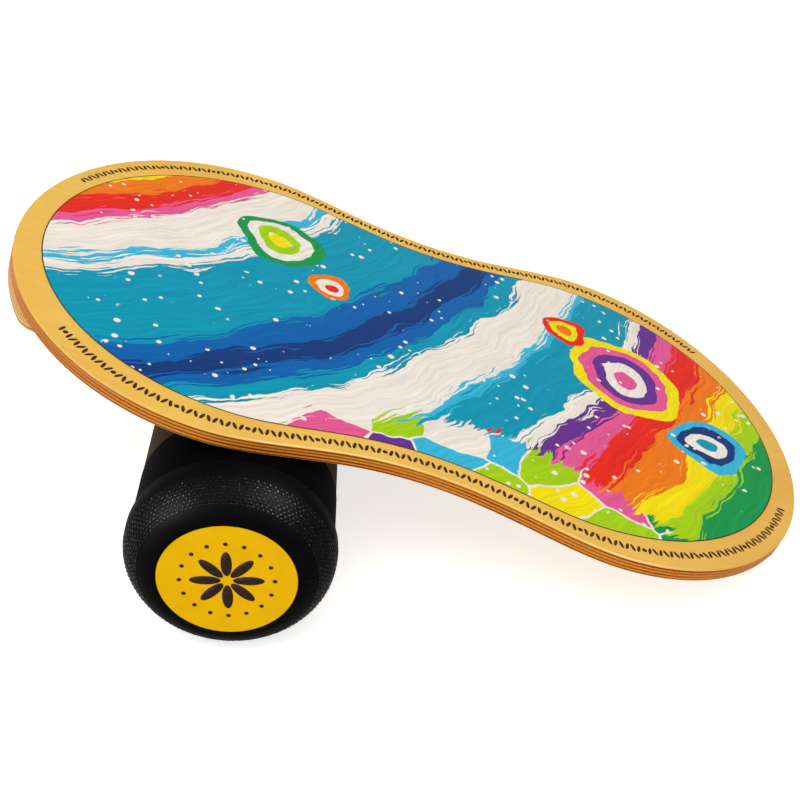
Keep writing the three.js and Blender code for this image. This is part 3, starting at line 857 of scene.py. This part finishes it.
# %% [markdown]
# ## The pipe's finish
# The pipe is bare grey-brown plastic in the middle, with long lines from the die that it was drawn through.
# They are hair-fine on a real pipe, so they are drawn 1.5 mm wide to be seen. Towards both ends a thin
# black rubber skin covers the pipe. How far a place is from the roller's middle tells which of the two it
# shows. The skin has a real thickness too: the pipe's profile steps out a little where it starts.

# %% Pipe, bare in the middle and rubbered black towards its ends
BARE_HALF, SKIN_BLEND = 174, 0.2


def rubbered_pipe():
    constants = {"Roughness": 0.6, "IOR": 1.5, "Specular IOR Level": 0.004}
    material, tree, shader = start_material("pipe_with_rubbered_ends", constants)
    where = bench_millimetres(tree, roller_centre)
    along = add_node(tree, "ShaderNodeSeparateXYZ", {0: where})[1]
    away = add_node(tree, "ShaderNodeMath", {0: along}, operation="ABSOLUTE")[0]
    dust = stretched_noise(tree, where, DUST_BLOTCH, detail=4)
    drawn = stretched_noise(tree, where, DRAW_LINES)
    bare = laid_over(tree, linear("423A2F"), linear("4A4236"), dust, low=0.3, high=0.75)
    scuffed = laid_over(tree, bare, linear("332D25"), drawn, low=0.5, high=0.75, most=0.5)
    black = linear("040405")
    colour = laid_over(tree, scuffed, black, away, low=BARE_HALF - SKIN_BLEND, high=BARE_HALF + SKIN_BLEND)
    return dressed(material, shader, colour, drawn, strength=0.15)


pipe = rubbered_pipe()
print("made", pipe.name)

# %% [markdown]
# ## The roller's shells
# The roller is a smooth plastic pipe with a fatter moulded cap pushed on each end. Both are turned shapes,
# so a profile is drawn once and spun round the axis. The spin's faces can come out inside out, so its
# doubles are merged and its normals are worked out again. The cap's shoulder is one smooth curve from the
# face to the side, with its handles reaching 45 percent of the way, and small fillets keep the rims from
# looking knife-sharp.

# %% Turned pieces
TURN_STEPS = 160
TUBE_RADIUS, TUBE_WALL, TUBE_HALF = 80, 4, 245.7
ROLLER_HALF = 273


def turned_mesh(profile, material, bench):
    """Spins a closed profile of (radius, place along y) round the bench's y axis."""
    solid = bmesh.new()
    corners = [solid.verts.new((radius, along, 0)) for radius, along in profile]
    edges = [solid.edges.new(pair) for pair in zip(corners, corners[1:])]
    around_y = {"axis": (0, 1, 0), "cent": (0, 0, 0), "angle": math.tau, "steps": TURN_STEPS}
    bmesh.ops.spin(solid, geom=corners + edges, use_merge=True, **around_y)
    bmesh.ops.remove_doubles(solid, verts=solid.verts, dist=0.0005)
    bmesh.ops.recalc_face_normals(solid, faces=solid.faces)
    mesh = bpy.data.meshes.new("turned")
    solid.to_mesh(mesh)
    solid.free()
    mesh.materials.append(material)
    mesh = smooth_with_corners(mesh)
    mesh.transform(bench)
    return mesh


RUBBER_THICK = 0.4
half_tube = [
    (TUBE_RADIUS - RUBBER_THICK, BARE_HALF), (TUBE_RADIUS, BARE_HALF), (TUBE_RADIUS, TUBE_HALF),
    (TUBE_RADIUS - TUBE_WALL, TUBE_HALF),
]
tube_profile = half_tube + [(radius, -along) for radius, along in reversed(half_tube)] + half_tube[:1]
tube = turned_mesh(tube_profile, pipe, ROLLER_BENCH)
place_piece("smooth_roller_tube", tube, "roller", "black_tube", "roller_tube")
print("tube faces:", len(tube.polygons))

# %% Cap profile
CAP_RADIUS, CAP_FACE, CAP_SHOULDER, CAP_REACH = 82.75, 54.75, 33, 42
SHOULDER_SHARE = 0.45
RECESS, RECESS_DEPTH, RIM_ROUND, BACK_ROUND = 54.2, 0.8, 0.25, 1.2
SKIRT_INSIDE, GROOVE, SPIGOT_OUTSIDE, SPIGOT_INSIDE, SPIGOT_REACH, CAP_WALL = 80.3, 27, 75.7, 72.1, 60, 4


def shoulder_point(share, face=(CAP_FACE, 0), side=(CAP_RADIUS, CAP_SHOULDER)):
    """(radius, along) on a shoulder's curve, from 0 at the face to 1 at the side."""
    across, back = (side[0] - face[0]) * SHOULDER_SHARE, (side[1] - face[1]) * SHOULDER_SHARE
    return on_curve([face, (face[0] + across, face[1]), (side[0], side[1] - back), side], share)


SHOULDER_STEPS, INNER_STEPS, ROUND_STEPS = 28, 12, 4
QUARTER = math.pi / 2
cap_profile = [(0, RECESS_DEPTH), (RECESS, RECESS_DEPTH)]
cap_profile += arc(RECESS + RIM_ROUND, RIM_ROUND, RIM_ROUND, 2 * QUARTER, 3 * QUARTER, ROUND_STEPS)
cap_profile += [shoulder_point(i / SHOULDER_STEPS) for i in range(SHOULDER_STEPS + 1)]
cap_profile += arc(CAP_RADIUS - BACK_ROUND, CAP_REACH - BACK_ROUND, BACK_ROUND, 0, QUARTER, ROUND_STEPS)
cap_profile += [(SKIRT_INSIDE, CAP_REACH), (SKIRT_INSIDE, GROOVE), (SPIGOT_OUTSIDE, GROOVE)]
cap_profile += [(SPIGOT_OUTSIDE, SPIGOT_REACH), (SPIGOT_INSIDE, SPIGOT_REACH)]
inside = ((CAP_FACE - CAP_WALL, CAP_WALL), (SPIGOT_INSIDE, CAP_SHOULDER))
cap_profile += [shoulder_point(1 - i / INNER_STEPS, *inside) for i in range(INNER_STEPS + 1)]
cap_profile += [(0, CAP_WALL)]
NEAR_END = ROLLER_BENCH @ Matrix.Translation((0, -ROLLER_HALF, 0))
FAR_END = ROLLER_BENCH @ Matrix.Rotation(math.pi, 4, "Z") @ Matrix.Translation((0, -ROLLER_HALF, 0))
ENDS = {"near": NEAR_END, "far": FAR_END}
for end, bench in ENDS.items():
    shell = turned_mesh(cap_profile, cap_plastic, bench)
    place_piece(f"smooth_{end}_end_cap", shell, "roller", "black_cap", f"{end}_end_cap")
print("cap faces:", len(shell.polygons))

# %% [markdown]
# ## Pebbled grip band
# Each cap has a band of small moulded pebbles round its shoulder, in staggered rows, where hands and floor
# touch it. There are about a thousand on each cap, so they are grown, not drawn. The seats are the corners
# of a thin band of faces laid on the shoulder. The tree reads the band's own normal at each seat and sets a
# flattened ball there, its long side running round the cap. Each ball has its own size and is shifted a
# little, so the rows look moulded and not printed.

# %% Pebbles
PEBBLE_SIZES = {
    "Pebble Length": 3.3, "Pebble Width": 2.4, "Pebble Height": 0.9, "Smallest": 0.75, "Largest": 1.1,
    "Shift": 0.25,
}
PEBBLE_ROWS, PEBBLES_A_ROW = 9, 108
BAND_START, BAND_END = 0.38, 0.79
SIZE_SEED, SHIFT_SEED = 5, 8


def pebble_tree(material):
    tree, given = start_tree("pebbles_on_a_band", PEBBLE_SIZES)
    normal = add_node(tree, "GeometryNodeInputNormal")[0]
    upright = add_node(tree, "FunctionNodeAlignRotationToVector", {"Vector": normal}, axis="Z")[0]
    cross = {0: (0, 1, 0), 1: normal}
    round_cap = add_node(tree, "ShaderNodeVectorMath", cross, operation="CROSS_PRODUCT")[0]
    facing = {"Rotation": upright, "Vector": round_cap}
    turned = add_node(tree, "FunctionNodeAlignRotationToVector", facing, axis="X", pivot_axis="Z")[0]
    sizes = {0: given["Pebble Length"], 1: given["Pebble Width"], 2: given["Pebble Height"]}
    even = add_node(tree, "ShaderNodeCombineXYZ", sizes)[0]
    spread = {2: given["Smallest"], 3: given["Largest"], "Seed": SIZE_SEED}
    share = add_node(tree, "FunctionNodeRandomValue", spread, data_type="FLOAT")[1]
    size = add_node(tree, "ShaderNodeVectorMath", {0: even, "Scale": share}, operation="SCALE")[0]
    back = add_node(tree, "ShaderNodeMath", {0: given["Shift"], 1: -1.0}, operation="MULTIPLY")[0]
    either_way = {0: back, 1: given["Shift"], "Seed": SHIFT_SEED}
    shift = add_node(tree, "FunctionNodeRandomValue", either_way, data_type="FLOAT_VECTOR")[0]
    along = add_node(tree, "ShaderNodeVectorMath", {0: shift, 1: round_cap}, operation="MULTIPLY")[0]
    moved = add_node(tree, "GeometryNodeSetPosition", {"Geometry": given["Geometry"], "Offset": along})[0]
    ball = add_node(tree, "GeometryNodeMeshUVSphere", {"Segments": 8, "Rings": 5, "Radius": 0.5})["Mesh"]
    seats = {"Points": moved, "Instance": ball, "Rotation": turned, "Scale": size}
    end_tree(tree, add_node(tree, "GeometryNodeInstanceOnPoints", seats)[0], material)
    return tree


def pebble_seats():
    """A band of faces on the shoulder. Every second row is shifted by half a step."""
    points, faces = [], []
    for row in range(PEBBLE_ROWS):
        radius, along = shoulder_point(BAND_START + (BAND_END - BAND_START) * row / (PEBBLE_ROWS - 1))
        for seat in range(PEBBLES_A_ROW):
            turn = math.tau * (seat + 0.5 * (row % 2)) / PEBBLES_A_ROW
            points.append((radius * math.cos(turn), along, radius * math.sin(turn)))
    for row in range(PEBBLE_ROWS - 1):
        for seat in range(PEBBLES_A_ROW):
            near, far = row * PEBBLES_A_ROW, (row + 1) * PEBBLES_A_ROW
            after = (seat + 1) % PEBBLES_A_ROW
            faces.append((near + seat, near + after, far + after, far + seat))
    mesh = bpy.data.meshes.new("pebble_seats")
    mesh.from_pydata(points, [], faces)
    return mesh


pebbles = pebble_tree(pebble_plastic)
for end, bench in ENDS.items():
    band = grow(pebbles, pebble_seats(), PEBBLE_SIZES, bench)
    place_piece(f"{end}_cap_pebbles", band, "roller", "black_cap")
print("pebbles on each cap:", PEBBLE_ROWS * PEBBLES_A_ROW, "faces:", len(band.polygons))

# %% [markdown]
# ## Mould lines
# A moulded cap comes out of a two-part mould, and a hair of plastic stands where the halves met. The line
# runs over the shoulder and along the side, at both ends of a level diameter. It uses the same swept line
# as the print.

# %% Mould lines
SEAM_SIZES = {"Radius": 0.3}
SEAM_START, SEAM_SINK, SEAM_STEPS = 0.1, 0.1, 24
seam_tree = line_tree("seam_along_a_path", cap_plastic, SEAM_SIZES)
shares = [SEAM_START + (1 - SEAM_START) * i / SEAM_STEPS for i in range(SEAM_STEPS + 1)]
seam_line = [shoulder_point(share) for share in shares] + [(CAP_RADIUS, CAP_REACH - BACK_ROUND)]
seam_sides = [[(side * (radius - SEAM_SINK), along, 0) for radius, along in seam_line] for side in (1, -1)]
for end, bench in ENDS.items():
    seam = grow(seam_tree, path_mesh(seam_sides), SEAM_SIZES, bench)
    place_piece(f"{end}_cap_mould_lines", seam, "roller", "black_cap")
print("mould line faces:", len(seam.polygons))

# %% [markdown]
# ## Yellow labels
# A round yellow vinyl label sits in each cap's recess. Its colour is flat, so what makes it vinyl is a soft
# gloss and a faint unevenness of the ink. A thin dark ring of painted shade lies just inside its edge, for
# the gap between the label and the recess; it is a ramp over the distance from the axis. The vinyl's grain
# is drawn a millimetre wide to be seen. A plain rosette of petals and dots fills its middle.

# %% Label vinyl
LABEL_RADIUS = 53.7
# The label's ring of painted shade lies between these two radii, just inside its edge.
SHADE_EDGE_OUT, SHADE_EDGE_IN = LABEL_RADIUS - 0.3, LABEL_RADIUS - 0.6
INK_BLOTCH, VINYL_GRAIN = (25, 25, 25), (1.2, 1.2, 1.2)


def label_vinyl():
    gloss = {"Roughness": 0.36, "IOR": 1.46, "Specular IOR Level": 0.03}
    material, tree, shader = start_material("yellow_label_vinyl", gloss)
    where = bench_millimetres(tree, roller_centre)
    flat = add_node(tree, "ShaderNodeVectorMath", {0: where, 1: (1, 0, 1)}, operation="MULTIPLY")[0]
    away = add_node(tree, "ShaderNodeVectorMath", {0: flat}, operation="LENGTH")["Value"]
    uneven = stretched_noise(tree, where, INK_BLOTCH, detail=3)
    plain = laid_over(tree, linear("FAC104"), linear("F5BA02"), uneven, low=0.4, high=0.7)
    # Painted shade: a thin dark ring just inside the label's edge, where the gap round it lies in shade.
    edge_shaded = laid_over(tree, plain, linear("2C1A0C"), away, low=SHADE_EDGE_IN, high=SHADE_EDGE_OUT)
    fine = stretched_noise(tree, where, VINYL_GRAIN)
    return dressed(material, shader, edge_shaded, fine, strength=0.08)


vinyl = label_vinyl()
for end in ENDS:
    frame["nodes"][f"{end}_label"].material_slots[0].material = vinyl
print("made", vinyl.name)

# %% Label rosettes
label_ink = matte_ink("dark_label_ink", "2C1C12")
PETAL_SIZES = {
    "Marks": 8, "Mark Length": 24.0, "Mark Width": 8.5, "Dot Every": 99, "Dot Size": 24.0,
    "Ink Height": 0.1, "Turn": math.pi / 2, "Slant": 0.0,
}
BEAD_SIZES = {**PETAL_SIZES, "Marks": 16, "Mark Length": 3.6, "Mark Width": 3.6, "Dot Size": 3.6}
rosette_tree = marks_tree("petals_round_a_middle", label_ink, PETAL_SIZES)
LABEL_TOP, RING_STEPS = 0.2, 64
UPRIGHT = Matrix.Translation((0, LABEL_TOP, 0)) @ Matrix.Rotation(math.pi / 2, 4, "X")
for end, bench in ENDS.items():
    for name, radius, sizes in (("petals", 16.5, PETAL_SIZES), ("beads", 36, BEAD_SIZES)):
        ring = [(x, y, 0) for x, y in arc(0, 0, radius, 0, math.tau, RING_STEPS)]
        motif = grow(rosette_tree, path_mesh([ring]), sizes, bench @ UPRIGHT)
        place_piece(f"{end}_label_{name}", motif, "roller", "yellow_label")
print("rosette faces:", len(motif.polygons))

# %% [markdown]
# ## Screws
# Three countersunk screws hold each stop block from below. The CAD ones are coarse, so a finer one is grown
# on each of the six places: a cone under a flat head, a shank, and a cross cut out of the head by a Mesh
# Boolean. They are steel with a thin plating of zinc, which is bright and faintly cloudy.

# %% Countersunk screws
SCREW_SIZES = {
    "Head Radius": 4.0, "Shank Radius": 2.0, "Point Radius": 0.4, "Head Height": 2.6, "Shank Start": 2.2,
    "Point Start": 14.5, "Length": 18.0, "Cross Width": 1.1, "Cross Span": 4.4, "Cross Depth": 1.6,
}


def zinc_steel():
    material, tree, shader = start_material("zinc_plated_steel", {"Metallic": 1.0, "Roughness": 0.3})
    where = add_node(tree, "ShaderNodeTexCoord")["Object"]
    cloudy = stretched_noise(tree, where, [2 * MM] * 3, detail=3)
    colour = laid_over(tree, linear("C9CBCD"), linear("A9A9A4"), cloudy, low=0.35, high=0.7)
    tree.links.new(colour, shader.inputs["Base Color"])
    return material


def screw_tree(material):
    tree, given = start_tree("countersunk_screws", SCREW_SIZES)
    head, shank, point = given["Head Radius"], given["Shank Radius"], given["Point Radius"]
    # Where each cone starts and ends, and its radius at both.
    stages = [
        (0.0, given["Head Height"], head, shank), (given["Shank Start"], given["Point Start"], shank, shank),
        (given["Point Start"], given["Length"], shank, point),
    ]
    parts = [cone_between(tree, *stage) for stage in stages]
    span, wide = given["Cross Span"], given["Cross Width"]
    deep = add_node(tree, "ShaderNodeMath", {0: given["Cross Depth"], 1: 2.0}, operation="MULTIPLY")[0]
    crossed = add_node(tree, "GeometryNodeMeshBoolean", {0: parts[0]}, operation="DIFFERENCE", solver="EXACT")
    for long_way, short_way in ((span, wide), (wide, span)):
        size = add_node(tree, "ShaderNodeCombineXYZ", {0: long_way, 1: short_way, 2: deep})[0]
        bar = add_node(tree, "GeometryNodeMeshCube", {"Size": size})["Mesh"]
        tree.links.new(bar, crossed[0].node.inputs[1])
    whole = add_node(tree, "GeometryNodeJoinGeometry", {0: crossed[0]})
    for part in parts[1:]:
        tree.links.new(part, whole[0].node.inputs[0])
    seats = {"Points": given["Geometry"], "Instance": whole[0]}
    end_tree(tree, add_node(tree, "GeometryNodeInstanceOnPoints", seats)[0], material)
    return tree


steel = zinc_steel()
screws = screw_tree(steel)
for end in ("lowered", "raised"):
    heads = screw_places(end)
    finer = grow(screws, path_mesh([], heads), SCREW_SIZES, DECK_BENCH)
    finer.set_sharp_from_angle(angle=CORNER)
    names = [f"{end}_end_stopper_screw_{i}" for i in (1, 2, 3)]
    place_piece(f"{end}_end_screws", finer, "deck", "screw_steel", *names)
    print(end, "screw heads at", [[round(n, 1) for n in head] for head in heads])

# %% [markdown]
# ## Floor, light and camera
# The picture is a cut-out on white under soft, even light. The floor is nearly white, and it brightens a
# little for camera and mirror rays only, so that it reads as white and still keeps the soft shadow. A large
# lamp overhead models the forms. A small one at each side gives the roller's shoulder its two glints, and
# those two are switched off for matte surfaces, which they would only brighten.

# %% Floor and backdrop
def white_for_the_eye(tree):
    """One for rays that look or mirror, and zero for rays that light."""
    path = add_node(tree, "ShaderNodeLightPath")
    seen = add_node(tree, "ShaderNodeMath", {0: path[0], 1: path["Is Glossy Ray"]}, operation="MAXIMUM")[0]
    return add_node(tree, "ShaderNodeMath", {0: seen, 1: path["Is Transmission Ray"]}, operation="MAXIMUM")[0]


FLOOR_HALF, FLOOR_GLOW = 6, 0.7
floor_mesh = bpy.data.meshes.new("floor")
corners = [(-FLOOR_HALF, -FLOOR_HALF, 0), (FLOOR_HALF, -FLOOR_HALF, 0)]
corners += [(FLOOR_HALF, FLOOR_HALF, 0), (-FLOOR_HALF, FLOOR_HALF, 0)]
floor_mesh.from_pydata(corners, [], [(0, 1, 2, 3)])
floor = bpy.data.objects.new("floor", floor_mesh)
bpy.context.scene.collection.objects.link(floor)

paint = bpy.data.materials.new("pale_floor_paint")
paint.use_nodes = True
tree = paint.node_tree
tree.nodes.clear()
matte = add_node(tree, "ShaderNodeBsdfDiffuse", {"Color": linear("F2F2F2")})[0]
glow = add_node(tree, "ShaderNodeEmission", {"Color": linear("FFFFFF"), "Strength": FLOOR_GLOW})[0]
none = add_node(tree, "ShaderNodeEmission", {"Strength": 0.0})[0]
lift = add_node(tree, "ShaderNodeMixShader", {0: white_for_the_eye(tree), 1: none, 2: glow})[0]
both = add_node(tree, "ShaderNodeAddShader", {0: matte, 1: lift})[0]
add_node(tree, "ShaderNodeOutputMaterial", {"Surface": both})
floor_mesh.materials.append(paint)

SKY_LIGHT = 0.6
world = bpy.data.worlds.new("studio")
bpy.context.scene.world = world
world.use_nodes = True
tree = world.node_tree
tree.nodes.clear()
seen = add_node(tree, "ShaderNodeBackground", {"Color": linear("FFFFFF"), "Strength": 1.0})[0]
light = add_node(tree, "ShaderNodeBackground", {"Color": linear("FFFFFF"), "Strength": SKY_LIGHT})[0]
sky = add_node(tree, "ShaderNodeMixShader", {0: white_for_the_eye(tree), 1: light, 2: seen})[0]
add_node(tree, "ShaderNodeOutputWorld", {"Surface": sky})
print("floor and sky made")

# %% Lamps
# Name, place and width in metres, power in watts, and whether the lamp lights matte surfaces.
LAMPS = [
    ("overhead", (-0.3, -1.1, 2.6), 2.2, 34, True),
    ("left_glint", (-2.1, -1.25, 1.0), 0.5, 440, False),
    ("right_glint", (1.1, -0.7, 1.5), 0.4, 320, False),
]
for name, place, size, power, lights_matte in LAMPS:
    lamp = bpy.data.lights.new(name, "AREA")
    lamp.shape, lamp.size, lamp.energy = "DISK", size, power
    holder = bpy.data.objects.new(name, lamp)
    holder.location = place
    holder.rotation_euler = (-Vector(place)).to_track_quat("-Z", "Y").to_euler()
    holder.visible_diffuse = lights_matte
    bpy.context.scene.collection.objects.link(holder)
print("lamps:", len(LAMPS))

# %% Camera
# The lens, place and turn were fitted to the outlines of the deck and the roller in the photo.
LENS = 56.617
CAMERA_PLACE = (-0.06404, -0.97814, 0.73464)
CAMERA_TURN = (55.5867, -2.5755, -1.0067)
camera_data = bpy.data.cameras.new("photo_camera")
camera_data.lens, camera_data.sensor_width = LENS, 36
camera = bpy.data.objects.new("photo_camera", camera_data)
camera.location = CAMERA_PLACE
camera.rotation_euler = [math.radians(turn) for turn in CAMERA_TURN]
bpy.context.scene.collection.objects.link(camera)
bpy.context.scene.camera = camera
bpy.context.scene.view_settings.view_transform = "Standard"
